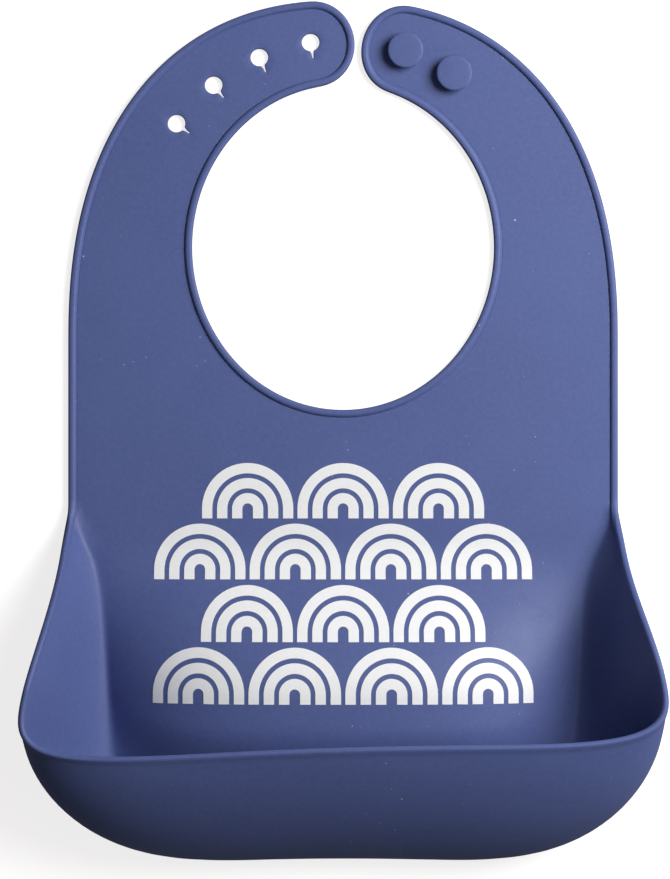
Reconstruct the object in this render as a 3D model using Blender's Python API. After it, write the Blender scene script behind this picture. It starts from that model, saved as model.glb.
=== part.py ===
"""Silicone baby bib with a scoop pocket and a two-stud neck closure, lying on its back.

One silicone moulding, drawn as the zones that its living hinges separate: a front panel with
the pocket, a neck panel above the fold line, and two neck straps of three zones each.
X runs across the bib, +Y towards the neck closure and +Z out of the front face. The origin is
the middle of the underside. Lengths are in millimetres until a mesh is written.
"""

import math

import bmesh
import bpy
from mathutils import Vector

MILLIMETRE = 0.001

# ---- Driving dimensions: sheet, bead and lip ----
SHEET = 1.8
WALL = 1.6
BEAD_WIDTH = 2.8
BEAD_RISE = 1.0
EDGE_ROUND = 0.5
LIP_RADIUS = 1.15
GAP = 0.35
BEAD_TOP = SHEET + BEAD_RISE

# ---- Outline of the flat part ----
HALF_WIDTH = 98.8
TOP_Y = 154.3
SHOULDER_Y = 32.5
SHOULDER_POWER = 2.3
NECK_Y = 65.5
NECK_HALF_WIDTH = 54.3
NECK_HALF_HEIGHT = 58.5
LEFT_TIP_ANGLE = 98.0
RIGHT_TIP_ANGLE = 73.5
TIP_REACH = 14.5

# ---- Hinge lines ----
FOLD_Y = -3.5
STRAP_ROOT_Y = 76.0
STRAP_HINGE_ANGLES = (26.0, 44.0)
CUT_SPARE_ANGLE = 6.0

# ---- Closure: four key-hole holes, two mushroom studs ----
HOLE_RADIUS = 3.15
FIRST_HOLE_ANGLE = 99.0
HOLE_PITCH_ANGLE = 14.8
HOLE_COUNT = 4
CLOSURE_RADIUS = 74.6
SLIT_LENGTH = 2.7
SLIT_WIDTH = 1.5
SLIT_END_WIDTH = 0.5
STUD_ANGLES = (72.4, 57.4)
STUD_CIRCLE_RADIUS = 74.0
STUD_CAP_RADIUS = 6.4
STUD_CAP_THICKNESS = 1.8
STUD_CAP_ROUND = 0.6
STUD_STEM_RADIUS = 2.9
STUD_FOOT_FLARE = 0.7
STUD_HEIGHT = 3.9

# ---- Pocket: floor crease, wall and rim ----
WAIST_Y = -26.0
CREASE_START_Y = -34.0
CREASE_RUN_IN = 9.0
CREASE_HALF_WIDTH = 83.2
CREASE_TAPER = 0.062
BEAD_FADE_RUN = 6.0
BASE_CORNER_Y = -105.0
BASE_FRONT_Y = -145.8
BASE_POWER = 4.7
CROWN = 19.0
CROWN_POWER = 3.5
CROWN_START_Y = -40.0
CROWN_FULL_Y = -96.0
CROWN_FRONT_RUN = 40.0
RIM_HALF_WIDTH = 112.2
RIM_FLARE_END_Y = -104.0
RIM_FLARE_POWER = 1.3
RIM_CORNER_Y = -87.0
RIM_FRONT_Y = -115.2
RIM_POWER = 4.7
RIM_CORNER_Z = 46.0
RIM_FRONT_Z = 49.0
RIM_EARLY_RISE = 0.35
RIM_SKEW = 0.03
RIM_BOW = 4.0
RIM_SWAY_RUN = 60.0
SIDE_SHARE = 0.3
CHEEK_START = 0.045
CHEEK_END = 0.352
SHARE_GAP = 0.0009

# Handles of the wall's curve at full height, each as (at the cheek, gained at the front,
# gained at the corner): how far the foot reaches out, how far the head leans out, how far it hangs.
FOOT_REACH = (9.1, 7.2, 3.4)
HEAD_LEAN = (-4.3, 38.2, 10.6)
HEAD_LEAN_POWER = 1.7
HEAD_DROP = (18.0, -1.5, 0.0)

# ---- Printed motif: staggered fans of three arcs ----
FAN_OUTER_RADIUS = 16.4
FAN_BAND = 3.7
FAN_STEP = 5.4
FAN_BANDS = 3
FAN_PITCH = 34.3
FAN_ROWS = ((3, -32.0), (4, -53.8), (3, -75.7), (4, -97.5))
FAN_LEG = 3.5
PRINT_THICKNESS = 0.35

SILICONE_BLUE = (0.083, 0.117, 0.31, 1.0)
INK_WHITE = (0.9, 0.9, 0.89, 1.0)


def smoothstep(value):
    value = min(max(value, 0.0), 1.0)
    return value * value * (3.0 - 2.0 * value)


def remove_objects():
    for item in list(bpy.data.objects):
        bpy.data.objects.remove(item, do_unlink=True)


def make_material(name, colour, roughness):
    material = bpy.data.materials.new(name)
    material.use_nodes = True
    shader = material.node_tree.nodes["Principled BSDF"]
    shader.inputs["Base Color"].default_value = colour
    shader.inputs["Roughness"].default_value = roughness
    shader.inputs["Metallic"].default_value = 0.0
    return material


def make_object(name, mesh_bm, material):
    """Write a bmesh drawn in millimetres as an object in metres."""
    bmesh.ops.recalc_face_normals(mesh_bm, faces=mesh_bm.faces)
    bmesh.ops.scale(mesh_bm, vec=(MILLIMETRE,) * 3, verts=mesh_bm.verts)
    mesh = bpy.data.meshes.new(name)
    mesh_bm.to_mesh(mesh)
    mesh_bm.free()
    mesh.shade_smooth()
    mesh.set_sharp_from_angle(angle=math.radians(35.0))
    mesh.materials.append(material)
    piece = bpy.data.objects.new(name, mesh)
    bpy.context.scene.collection.objects.link(piece)
    return piece


# ---- Outline curves of the flat part ----

def neck_point(angle):
    """Point of the neck opening's edge at a polar angle in degrees about its centre."""
    turn = math.radians(angle)
    reach = 1.0 / math.hypot(math.cos(turn) / NECK_HALF_WIDTH, math.sin(turn) / NECK_HALF_HEIGHT)
    return Vector((reach * math.cos(turn), NECK_Y + reach * math.sin(turn)))


def outer_point(angle):
    """Point of the outer edge on the ray at that angle: straight sides, superelliptic top."""
    turn = math.radians(angle)
    near, far = 0.0, 2.0 * TOP_Y
    for _ in range(40):
        reach = (near + far) / 2.0
        across = abs(reach * math.cos(turn)) / HALF_WIDTH
        along = max(NECK_Y + reach * math.sin(turn) - SHOULDER_Y, 0.0) / (TOP_Y - SHOULDER_Y)
        if across ** SHOULDER_POWER + along ** SHOULDER_POWER < 1.0:
            near = reach
        else:
            far = reach
    return Vector((near * math.cos(turn), NECK_Y + near * math.sin(turn)))


def sweep(point, start, end, step=4.0):
    """Points of one edge curve from a start angle to an end angle."""
    count = max(2, math.ceil(abs(end - start) / step))
    return [point(start + (end - start) * i / count) for i in range(count + 1)]


def tip_cap(angle, side, count=12):
    """Round end of a strap from its outer edge to its inner edge, both ends left out.

    side is -1 for the left strap, whose end points to +X, and +1 for the right strap.
    """
    inner, outer = neck_point(angle), outer_point(angle)
    middle = (inner + outer) / 2.0
    turn = math.radians(angle)
    along = Vector((-math.sin(turn), math.cos(turn))) * (side * TIP_REACH)
    half = (outer - inner) / 2.0
    points = []
    for i in range(1, count):
        swing = math.pi * i / count
        points.append(middle + half * math.cos(swing) + along * math.sin(swing))
    return points


def inset(points, distance):
    """The closed outline moved inwards by a distance, along the bisector at each corner."""
    moved = []
    area = sum(a.x * b.y - b.x * a.y for a, b in zip(points, points[1:] + points[:1]))
    inward = 1.0 if area > 0.0 else -1.0
    for before, here, after in zip(points[-1:] + points[:-1], points, points[1:] + points[:1]):
        first = (here - before).normalized()
        second = (after - here).normalized()
        normal = Vector((-first.y - second.y, first.x + second.x)).normalized() * inward
        cosine = max(normal.dot(Vector((-first.y, first.x)) * inward), 0.5)
        moved.append(here + normal * (distance / cosine))
    return moved


def beaded_slab(outline):
    """Flat sheet with a raised rounded bead all round its outline."""
    profile = (
        (EDGE_ROUND, 0.0),
        (0.0, EDGE_ROUND),
        (0.0, BEAD_TOP - EDGE_ROUND),
        (EDGE_ROUND, BEAD_TOP),
        (BEAD_WIDTH - 2.0 * EDGE_ROUND, BEAD_TOP),
        (BEAD_WIDTH, SHEET),
    )
    slab = bmesh.new()
    rings = []
    for distance, height in profile:
        ring = inset(outline, distance)
        rings.append([slab.verts.new((point.x, point.y, height)) for point in ring])
    for low, high in zip(rings, rings[1:]):
        for i, corner in enumerate(low):
            after = (i + 1) % len(low)
            slab.faces.new((corner, low[after], high[after], high[i]))
    caps = [slab.faces.new(rings[0]), slab.faces.new(rings[-1])]
    bmesh.ops.triangulate(slab, faces=caps)
    return slab


def keep_side(solid, point, normal):
    """Cut a closed solid by a plane, keep what lies on the normal's side, close the cut."""
    everything = list(solid.verts) + list(solid.edges) + list(solid.faces)
    cut = bmesh.ops.bisect_plane(
        solid, geom=everything, plane_co=point, plane_no=normal, clear_inner=True, dist=1e-5
    )
    edges = [item for item in cut["geom_cut"] if isinstance(item, bmesh.types.BMEdge)]
    filled = bmesh.ops.holes_fill(solid, edges=edges, sides=0)
    bmesh.ops.triangulate(solid, faces=filled["faces"])


def radial_cut(solid, angle, towards_tip, side):
    """Cut at a strap hinge line, half a gap back from it, keeping the named side."""
    turn = math.radians(angle if side > 0 else 180.0 - angle)
    normal = Vector((-math.sin(turn), math.cos(turn), 0.0)) * side
    if not towards_tip:
        normal = -normal
    centre = Vector((0.0, NECK_Y, 0.0))
    keep_side(solid, centre + normal * (GAP / 2.0), normal)


def level_cut(solid, height, upwards):
    """Cut across the bib at one Y, half a gap back from it."""
    normal = Vector((0.0, 1.0 if upwards else -1.0, 0.0))
    keep_side(solid, Vector((0.0, height, 0.0)) + normal * (GAP / 2.0), normal)


# ---- Neck panel and straps ----

def neck_panel():
    """The yoke round the lower half of the neck opening."""
    spare = 8.0
    side_angle = 25.0
    below = FOLD_Y - spare
    left_side = [Vector((-HALF_WIDTH, below)), Vector((-HALF_WIDTH, SHOULDER_Y))]
    right_side = [Vector((HALF_WIDTH, SHOULDER_Y)), Vector((HALF_WIDTH, below))]
    outline = left_side + sweep(outer_point, 196.0, 180.0 - side_angle)
    outline += sweep(neck_point, 180.0 - side_angle, 360.0 + side_angle)
    outline += sweep(outer_point, side_angle, -16.0) + right_side
    panel = beaded_slab(outline)
    level_cut(panel, FOLD_Y, upwards=True)
    level_cut(panel, STRAP_ROOT_Y, upwards=False)
    return panel


def strap_zone(side, start, end):
    """A stretch of strap between two angles above the horizontal, on one side, uncut."""
    if side < 0:
        start, end = 180.0 - start, 180.0 - end
    return beaded_slab(sweep(outer_point, start, end) + sweep(neck_point, end, start))


def strap_base(side):
    first = STRAP_HINGE_ANGLES[0]
    zone = strap_zone(side, 1.0, first + CUT_SPARE_ANGLE)
    level_cut(zone, STRAP_ROOT_Y, upwards=True)
    radial_cut(zone, first, towards_tip=False, side=side)
    return zone


def strap_middle(side):
    first, second = STRAP_HINGE_ANGLES
    zone = strap_zone(side, first - CUT_SPARE_ANGLE, second + CUT_SPARE_ANGLE)
    radial_cut(zone, first, towards_tip=True, side=side)
    radial_cut(zone, second, towards_tip=False, side=side)
    return zone


def strap_tip(side):
    start = STRAP_HINGE_ANGLES[1] - CUT_SPARE_ANGLE
    end = RIGHT_TIP_ANGLE
    if side < 0:
        start, end = 180.0 - start, LEFT_TIP_ANGLE
    outline = sweep(outer_point, start, end) + tip_cap(end, side)
    outline += sweep(neck_point, end, start)
    zone = beaded_slab(outline)
    radial_cut(zone, STRAP_HINGE_ANGLES[1], towards_tip=True, side=side)
    return zone


def closure_point(angle, radius=CLOSURE_RADIUS):
    turn = math.radians(angle)
    return Vector((radius * math.cos(turn), NECK_Y + radius * math.sin(turn)))


def keyhole_cutter(name, angle):
    """Round hole with a slit that tapers towards the neck opening, as a cutter."""
    centre = closure_point(angle)
    slit_end = closure_point(angle, CLOSURE_RADIUS - HOLE_RADIUS - SLIT_LENGTH)
    inwards = (slit_end - centre).normalized()
    across = Vector((-inwards.y, inwards.x))
    half_mouth = math.asin(SLIT_WIDTH / 2.0 / HOLE_RADIUS)
    slit_half = across * (SLIT_END_WIDTH / 2.0)
    outline = [slit_end - slit_half, slit_end + slit_half]
    arc_steps = 18
    for i in range(arc_steps + 1):
        turn = half_mouth + (math.tau - 2.0 * half_mouth) * i / arc_steps
        spoke = inwards * math.cos(turn) + across * math.sin(turn)
        outline.append(centre + spoke * HOLE_RADIUS)
    cutter = bmesh.new()
    floor = cutter.faces.new([cutter.verts.new((p.x, p.y, -SHEET)) for p in outline])
    raised = bmesh.ops.extrude_face_region(cutter, geom=[floor])
    top = [item for item in raised["geom"] if isinstance(item, bmesh.types.BMVert)]
    bmesh.ops.translate(cutter, vec=(0.0, 0.0, 4.0 * SHEET), verts=top)
    piece = make_object(name, cutter, None)
    piece.hide_render = True
    piece.display_type = "WIRE"
    return piece


def cut_keyholes(strap, indices):
    for index in indices:
        angle = FIRST_HOLE_ANGLE + HOLE_PITCH_ANGLE * index
        cutter = keyhole_cutter(f"cutter_hole_{index + 1}", angle)
        cut = strap.modifiers.new(f"hole_{index + 1}", "BOOLEAN")
        cut.operation = "DIFFERENCE"
        cut.object = cutter


def stud(angle, sides=28):
    """Mushroom stud: a waisted stem under a flat round cap with a softened edge."""
    centre = closure_point(angle, STUD_CIRCLE_RADIUS)
    base = SHEET + GAP
    top = SHEET + STUD_HEIGHT
    under = top - STUD_CAP_THICKNESS
    profile = (
        (STUD_STEM_RADIUS + STUD_FOOT_FLARE, base),
        (STUD_STEM_RADIUS, base + STUD_FOOT_FLARE),
        (STUD_STEM_RADIUS, under),
        (STUD_CAP_RADIUS - STUD_CAP_ROUND, under),
        (STUD_CAP_RADIUS, under + STUD_CAP_ROUND),
        (STUD_CAP_RADIUS, top - STUD_CAP_ROUND),
        (STUD_CAP_RADIUS - STUD_CAP_ROUND, top),
    )
    solid = bmesh.new()
    rings = []
    for radius, height in profile:
        ring = []
        for i in range(sides):
            turn = math.tau * i / sides
            spot = centre + Vector((math.cos(turn), math.sin(turn))) * radius
            ring.append(solid.verts.new((spot.x, spot.y, height)))
        rings.append(ring)
    for low, high in zip(rings, rings[1:]):
        for i, corner in enumerate(low):
            after = (i + 1) % sides
            solid.faces.new((corner, low[after], high[after], high[i]))
    solid.faces.new(rings[0])
    solid.faces.new(rings[-1])
    return solid


# ---- Front panel and pocket ----

def crease_half_width(y):
    """Half width of the flat floor: the full panel, then the crease that the cheeks rise from."""
    if y >= CREASE_START_Y:
        return HALF_WIDTH
    straight = CREASE_HALF_WIDTH + CREASE_TAPER * (y - BASE_CORNER_Y)
    at_start = CREASE_HALF_WIDTH + CREASE_TAPER * (CREASE_START_Y - BASE_CORNER_Y)
    return straight + (HALF_WIDTH - at_start) * math.exp((y - CREASE_START_Y) / CREASE_RUN_IN)


def base_front_y(across):
    """Y of the floor's front edge at a fraction of the half width, -1 to 1."""
    depth = (1.0 - min(abs(across), 1.0) ** BASE_POWER) ** (1.0 / BASE_POWER)
    return BASE_CORNER_Y + (BASE_FRONT_Y - BASE_CORNER_Y) * depth


def crown_height(across, y):
    """Rise of the floor between the creases, where the sheet bows upwards."""
    lengthwise = smoothstep((CROWN_START_Y - y) / (CROWN_START_Y - CROWN_FULL_Y))
    front = base_front_y(across)
    fade = smoothstep((y - front) / CROWN_FRONT_RUN)
    return CROWN * lengthwise * fade * (1.0 - min(abs(across), 1.0) ** CROWN_POWER)


def floor_point(across, down):
    """Point of the floor's underside: across from -1 to 1, down from the fold line to the front."""
    start = FOLD_Y - GAP / 2.0
    y = start + (base_front_y(across) - start) * down
    return Vector((across * crease_half_width(y), y, crown_height(across, y)))


def bead_fade(y):
    return smoothstep((y - CREASE_START_Y) / BEAD_FADE_RUN)


def front_panel():
    """Sheet from the fold line to the pocket's front, with the side beads down to the waist."""
    edge = (0.0, EDGE_ROUND, BEAD_WIDTH - 2.0 * EDGE_ROUND, BEAD_WIDTH)
    rise = (-EDGE_ROUND, 0.0, 0.0, -BEAD_RISE)
    columns = [(-1.0 + distance / HALF_WIDTH, lift) for distance, lift in zip(edge, rise)]
    inner_count = 15
    first = columns[-1][0]
    for i in range(1, inner_count):
        swing = math.pi * i / inner_count
        columns.append((first * math.cos(swing), -BEAD_RISE))
    columns += [(-across, lift) for across, lift in reversed(columns[:4])]
    row_count = 36
    early = 0.12
    rows = [smoothstep(early + (1.0 - early) * i / row_count) for i in range(row_count + 1)]
    rows = [(value - rows[0]) / (1.0 - rows[0]) for value in rows]
    solid = bmesh.new()
    top, bottom = [], []
    for down in rows:
        top_row, bottom_row = [], []
        for across, lift in columns:
            spot = floor_point(across, down)
            raised = (BEAD_RISE + lift) * bead_fade(spot.y)
            bottom_row.append(solid.verts.new(spot))
            top_row.append(solid.verts.new(spot + Vector((0.0, 0.0, SHEET + raised))))
        top.append(top_row)
        bottom.append(bottom_row)
    close_grid(solid, top, bottom)
    return solid


def close_grid(solid, outer, inner):
    """Faces of a solid between two grids of corners: both sheets and the band round them."""
    for sheet in (outer, inner):
        for row, following in zip(sheet, sheet[1:]):
            for i in range(len(row) - 1):
                solid.faces.new((row[i], row[i + 1], following[i + 1], following[i]))
    for grid_row in (0, -1):
        upper, lower = outer[grid_row], inner[grid_row]
        for i in range(len(upper) - 1):
            solid.faces.new((upper[i], upper[i + 1], lower[i + 1], lower[i]))
    for column in (0, -1):
        for i in range(len(outer) - 1):
            here, after = i, i + 1
            above = (outer[here][column], outer[after][column])
            below = (inner[after][column], inner[here][column])
            solid.faces.new(above + below)


def round_corner(turn, power):
    """Superellipse factors across and forwards at a turn of 0 to pi/2."""
    forwards = max(math.sin(turn), 0.0) ** (2.0 / power)
    across = max(math.cos(turn), 0.0) ** (2.0 / power)
    return across, forwards


def rim_half_width(y):
    """Half width that the rim has flared to at a Y, before its corners round it off."""
    run = min(max((WAIST_Y - y) / (WAIST_Y - RIM_FLARE_END_Y), 0.0), 1.0)
    return HALF_WIDTH + (RIM_HALF_WIDTH - HALF_WIDTH) * smoothstep(run ** RIM_FLARE_POWER)


def wall_stations(share):
    """Base point, rim point, outward direction and corner turn at a share of the way round.

    share runs from 0 at the left waist to 1 at the right waist.
    """
    side = -1.0 if share < 0.5 else 1.0
    near = min(share, 1.0 - share)
    if near < SIDE_SHARE:
        run = near / SIDE_SHARE
        turn = 0.0
        base_y = WAIST_Y + (BASE_CORNER_Y - WAIST_Y) * run
        base = Vector((crease_half_width(base_y), base_y, 0.0))
        rim_y = WAIST_Y + (RIM_CORNER_Y - WAIST_Y) * run
        rise = RIM_EARLY_RISE * run + (1.0 - RIM_EARLY_RISE) * smoothstep(run)
        rim_z = BEAD_TOP + (RIM_CORNER_Z - BEAD_TOP) * rise
        rim = Vector((rim_half_width(rim_y), rim_y, rim_z))
    else:
        turn = (near - SIDE_SHARE) / (0.5 - SIDE_SHARE) * math.pi / 2.0
        across, forwards = round_corner(turn, BASE_POWER)
        base_y = BASE_CORNER_Y + (BASE_FRONT_Y - BASE_CORNER_Y) * forwards
        base = Vector((across * crease_half_width(base_y), base_y, 0.0))
        across, forwards = round_corner(turn, RIM_POWER)
        rim_z = RIM_CORNER_Z + (RIM_FRONT_Z - RIM_CORNER_Z) * math.sin(turn)
        rim_y = RIM_CORNER_Y + (RIM_FRONT_Y - RIM_CORNER_Y) * forwards
        rim = Vector((across * rim_half_width(rim_y), rim_y, rim_z))
    base.x *= side
    rim.x *= side
    outward = Vector((side * math.cos(turn), -math.sin(turn), 0.0))
    return base, rim, outward, turn


def handle(sizes, front, corner):
    """Length of a curve handle from its size at the cheek and what front and corner add."""
    at_cheek, at_front, at_corner = sizes
    return at_cheek + at_front * front + at_corner * corner


def wall_point(share, climb):
    """Middle of the pocket wall: a cubic from the floor's edge, out, up and over to the rim."""
    base, rim, outward, turn = wall_stations(share)
    base.z = SHEET / 2.0
    height = (rim.z - base.z) / (RIM_FRONT_Z - base.z)
    front, corner = math.sin(turn), max(math.sin(2.0 * turn), 0.0)
    reach = handle(FOOT_REACH, front ** 2, corner) * height
    lean = handle(HEAD_LEAN, front ** HEAD_LEAN_POWER, corner) * height
    drop = handle(HEAD_DROP, front ** 2, corner) * height
    first = base + outward * reach
    second = rim + outward * lean - Vector((0.0, 0.0, drop))
    rest = 1.0 - climb
    middle = base * rest ** 3 + first * (3.0 * rest * rest * climb)
    middle += second * (3.0 * rest * climb * climb) + rim * climb ** 3
    sway = RIM_SKEW * rim.x + RIM_BOW * (1.0 - (rim.x / RIM_HALF_WIDTH) ** 2)
    sway *= smoothstep((WAIST_Y - rim.y) / RIM_SWAY_RUN)
    return middle + Vector((0.0, sway * climb ** 3, 0.0))


def wall_normal(share, climb):
    """Unit normal of the wall's middle surface, pointing out of the pocket."""
    step = 1e-3
    left, right = max(share - step, 0.0), min(share + step, 1.0)
    lower, upper = max(climb - step, 0.0), min(climb + step, 1.0)
    round_the_wall = wall_point(right, climb) - wall_point(left, climb)
    up_the_wall = wall_point(share, upper) - wall_point(share, lower)
    return round_the_wall.cross(up_the_wall).normalized()


def pocket_wall(start, end, columns):
    """Sheet of the pocket wall between two shares, from the floor to just under the lip."""
    rows = 8
    solid = bmesh.new()
    outer, inner = [], []
    for row in range(rows + 1):
        outer_row, inner_row = [], []
        for column in range(columns + 1):
            share = start + (end - start) * column / columns
            rim_side = wall_point(share, 1.0)
            length = (rim_side - wall_point(share, 0.9)).length / 0.1
            low = (GAP + WALL) / max(length, 1.0)
            high = 1.0 - (LIP_RADIUS + GAP) / max(length, 1.0)
            climb = low + (high - low) * row / rows
            middle = wall_point(share, climb)
            normal = wall_normal(share, climb)
            outer_row.append(solid.verts.new(middle + normal * (WALL / 2.0)))
            inner_row.append(solid.verts.new(middle - normal * (WALL / 2.0)))
        outer.append(outer_row)
        inner.append(inner_row)
    close_grid(solid, outer, inner)
    return solid


def pocket_lip(start, end, columns, sides=8):
    """Round lip along the wall's upper edge."""
    solid = bmesh.new()
    rings = []
    for column in range(columns + 1):
        share = start + (end - start) * column / columns
        centre = wall_point(share, 1.0)
        up_the_wall = (centre - wall_point(share, 0.99)).normalized()
        outward = wall_normal(share, 1.0)
        ring = []
        for i in range(sides):
            turn = math.tau * (i + 0.5) / sides
            spoke = outward * math.cos(turn) + up_the_wall * math.sin(turn)
            ring.append(solid.verts.new(centre + spoke * LIP_RADIUS))
        rings.append(ring)
    for ring, following in zip(rings, rings[1:]):
        for i in range(sides):
            after = (i + 1) % sides
            solid.faces.new((ring[i], ring[after], following[after], following[i]))
    solid.faces.new(rings[0])
    solid.faces.new(rings[-1])
    return solid


# ---- Printed motif ----

def arch_line(centre_x, base_y, radius, steps=10):
    """Points up one short leg, round a half circle and down the other leg."""
    arch = [Vector((centre_x + radius, base_y))]
    for i in range(steps + 1):
        turn = math.pi * i / steps
        rise = FAN_LEG + radius * math.sin(turn)
        arch.append(Vector((centre_x + radius * math.cos(turn), base_y + rise)))
    arch.append(Vector((centre_x - radius, base_y)))
    return arch


def fan_band(centre_x, base_y, radius):
    """One arch of the motif, a thin plate that follows the floor."""
    solid = bmesh.new()
    top, bottom = [], []
    for reach in (radius, radius - FAN_BAND):
        top_row, bottom_row = [], []
        for spot in arch_line(centre_x, base_y, reach):
            across = spot.x / crease_half_width(spot.y)
            height = crown_height(across, spot.y) + SHEET + GAP
            bottom_row.append(solid.verts.new((spot.x, spot.y, height)))
            top_row.append(solid.verts.new((spot.x, spot.y, height + PRINT_THICKNESS)))
        top.append(top_row)
        bottom.append(bottom_row)
    close_grid(solid, top, bottom)
    return solid


def printed_motif(material):
    number = 0
    for count, base_y in FAN_ROWS:
        for index in range(count):
            number += 1
            centre_x = FAN_PITCH * (index - (count - 1) / 2.0)
            for band in range(FAN_BANDS):
                radius = FAN_OUTER_RADIUS - FAN_STEP * band
                name = f"print_fan_{number}_band_{band + 1}"
                make_object(name, fan_band(centre_x, base_y, radius), material)


def main():
    remove_objects()
    silicone = make_material("silicone_blue", SILICONE_BLUE, 0.55)
    ink = make_material("print_white", INK_WHITE, 0.6)

    make_object("front_panel", front_panel(), silicone)
    cheek = (CHEEK_START, CHEEK_END - SHARE_GAP / 2.0)
    front = (CHEEK_END + SHARE_GAP / 2.0, 1.0 - CHEEK_END - SHARE_GAP / 2.0)
    mirrored = (1.0 - cheek[1], 1.0 - cheek[0])
    for word, (start, end), columns in (
        ("left_cheek", cheek, 14),
        ("right_cheek", mirrored, 14),
        ("pocket_front", front, 24),
    ):
        make_object(word, pocket_wall(start, end, columns), silicone)
    for word, (start, end), columns in (
        ("left_lip", cheek, 18),
        ("right_lip", mirrored, 18),
        ("front_lip", front, 28),
    ):
        make_object(word, pocket_lip(start, end, columns), silicone)
    make_object("neck_panel", neck_panel(), silicone)
    for side, word in ((-1, "left"), (1, "right")):
        make_object(f"{word}_strap_base", strap_base(side), silicone)
        middle = make_object(f"{word}_strap_middle", strap_middle(side), silicone)
        tip = make_object(f"{word}_strap_tip", strap_tip(side), silicone)
        if side < 0:
            cut_keyholes(tip, range(HOLE_COUNT - 1))
            cut_keyholes(middle, [HOLE_COUNT - 1])
    for word, angle in zip(("inner", "outer"), STUD_ANGLES):
        make_object(f"{word}_stud", stud(angle), silicone)
    printed_motif(ink)


main()
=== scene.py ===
"""Looks of the silicone bib: one smooth moulded skin over the CAD zones, studs, print and light.

The skin is drawn in one piece in millimetres, from the same curves as the CAD part, and is then
cut at the living hinges. Each cut piece replaces the CAD zones that it covers.
"""

import math

import bmesh
import bpy
import numpy as np
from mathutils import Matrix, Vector
from mathutils.geometry import delaunay_2d_cdt


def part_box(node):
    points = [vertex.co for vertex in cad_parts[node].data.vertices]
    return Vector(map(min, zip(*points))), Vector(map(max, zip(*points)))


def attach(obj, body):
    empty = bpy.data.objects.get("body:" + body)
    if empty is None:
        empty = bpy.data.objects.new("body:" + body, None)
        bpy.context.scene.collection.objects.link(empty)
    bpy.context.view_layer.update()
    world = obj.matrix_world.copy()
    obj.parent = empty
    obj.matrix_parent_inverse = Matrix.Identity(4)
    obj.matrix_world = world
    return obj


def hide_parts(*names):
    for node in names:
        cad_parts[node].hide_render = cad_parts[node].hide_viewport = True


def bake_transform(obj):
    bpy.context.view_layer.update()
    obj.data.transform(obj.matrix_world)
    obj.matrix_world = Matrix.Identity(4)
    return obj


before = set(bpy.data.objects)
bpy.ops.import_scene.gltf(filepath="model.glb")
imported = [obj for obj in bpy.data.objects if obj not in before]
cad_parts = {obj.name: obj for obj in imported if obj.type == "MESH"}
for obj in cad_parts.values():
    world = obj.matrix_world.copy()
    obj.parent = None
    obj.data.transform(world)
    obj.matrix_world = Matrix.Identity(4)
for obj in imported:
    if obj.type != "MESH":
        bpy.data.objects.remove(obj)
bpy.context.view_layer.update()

MM = 0.001

# ---- Sizes shared with the CAD part, in millimetres ----
SHEET = 1.8
WALL = 1.6
BEAD_TOP = 2.8
HALF_WIDTH = 98.8
TOP_Y = 154.3
SHOULDER_Y = 32.5
SHOULDER_POWER = 2.3
NECK_Y = 65.5
NECK_HALF_WIDTH = 54.3
NECK_HALF_HEIGHT = 58.5
LEFT_TIP_ANGLE = 98.0
RIGHT_TIP_ANGLE = 73.5
TIP_REACH = 14.5
FOLD_Y = -3.5
STRAP_ROOT_Y = 76.0
STRAP_HINGE_ANGLES = (26.0, 44.0)
HOLE_RADIUS = 3.15
FIRST_HOLE_ANGLE = 99.0
HOLE_PITCH_ANGLE = 14.8
HOLE_COUNT = 4
CLOSURE_RADIUS = 74.6
SLIT_LENGTH = 2.7
SLIT_WIDTH = 1.5
STUD_ANGLES = (72.4, 57.4)
STUD_CIRCLE_RADIUS = 74.0
STUD_CAP_RADIUS = 6.4
STUD_STEM_RADIUS = 2.9
STUD_HEIGHT = 3.9
WAIST_Y = -26.0
CREASE_START_Y = -34.0
CREASE_RUN_IN = 9.0
CREASE_HALF_WIDTH = 83.2
CREASE_TAPER = 0.062
BASE_CORNER_Y = -105.0
BASE_FRONT_Y = -145.8
BASE_POWER = 4.7
CROWN = 19.0
CROWN_POWER = 3.5
CROWN_START_Y = -40.0
CROWN_FULL_Y = -96.0
CROWN_FRONT_RUN = 40.0
RIM_HALF_WIDTH = 112.2
RIM_FLARE_END_Y = -104.0
RIM_FLARE_POWER = 1.3
RIM_CORNER_Y = -87.0
RIM_FRONT_Y = -115.2
RIM_POWER = 4.7
RIM_CORNER_Z = 46.0
RIM_FRONT_Z = 49.0
RIM_EARLY_RISE = 0.35
RIM_SKEW = 0.03
RIM_BOW = 4.0
RIM_SWAY_RUN = 60.0
SIDE_SHARE = 0.3
# Handles of the wall's curve: (at the cheek, gained at the front, gained at the corner)
FOOT_REACH = (9.1, 7.2, 3.4)
HEAD_LEAN = (-4.3, 38.2, 10.6)
HEAD_LEAN_POWER = 1.7
HEAD_DROP = (18.0, -1.5, 0.0)
FAN_OUTER_RADIUS = 16.4
FAN_BAND = 3.7
FAN_STEP = 5.4
FAN_BANDS = 3
FAN_PITCH = 34.3
FAN_ROWS = ((3, -32.0), (4, -53.8), (3, -75.7), (4, -97.5))
FAN_LEG = 3.5

# ---- Sizes that only the skin has, in millimetres ----
POCKET_SPLIT_Y = -30.0
SLIT_END_HALF_WIDTH = 0.16
SLIT_PINCH = 0.35
CREASE_SOFTNESS = 0.8
CREASE_ZONE = 4.0
FLOOR_REACH_FLAT = 5.0
FLOOR_REACH_POCKET = 8.0
INK_RISE = 0.14
INK_DEPTH = 0.1
# Share of the way round the pocket over which the flat edge turns into a wall
BLEND_SHARE = 0.085

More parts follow.
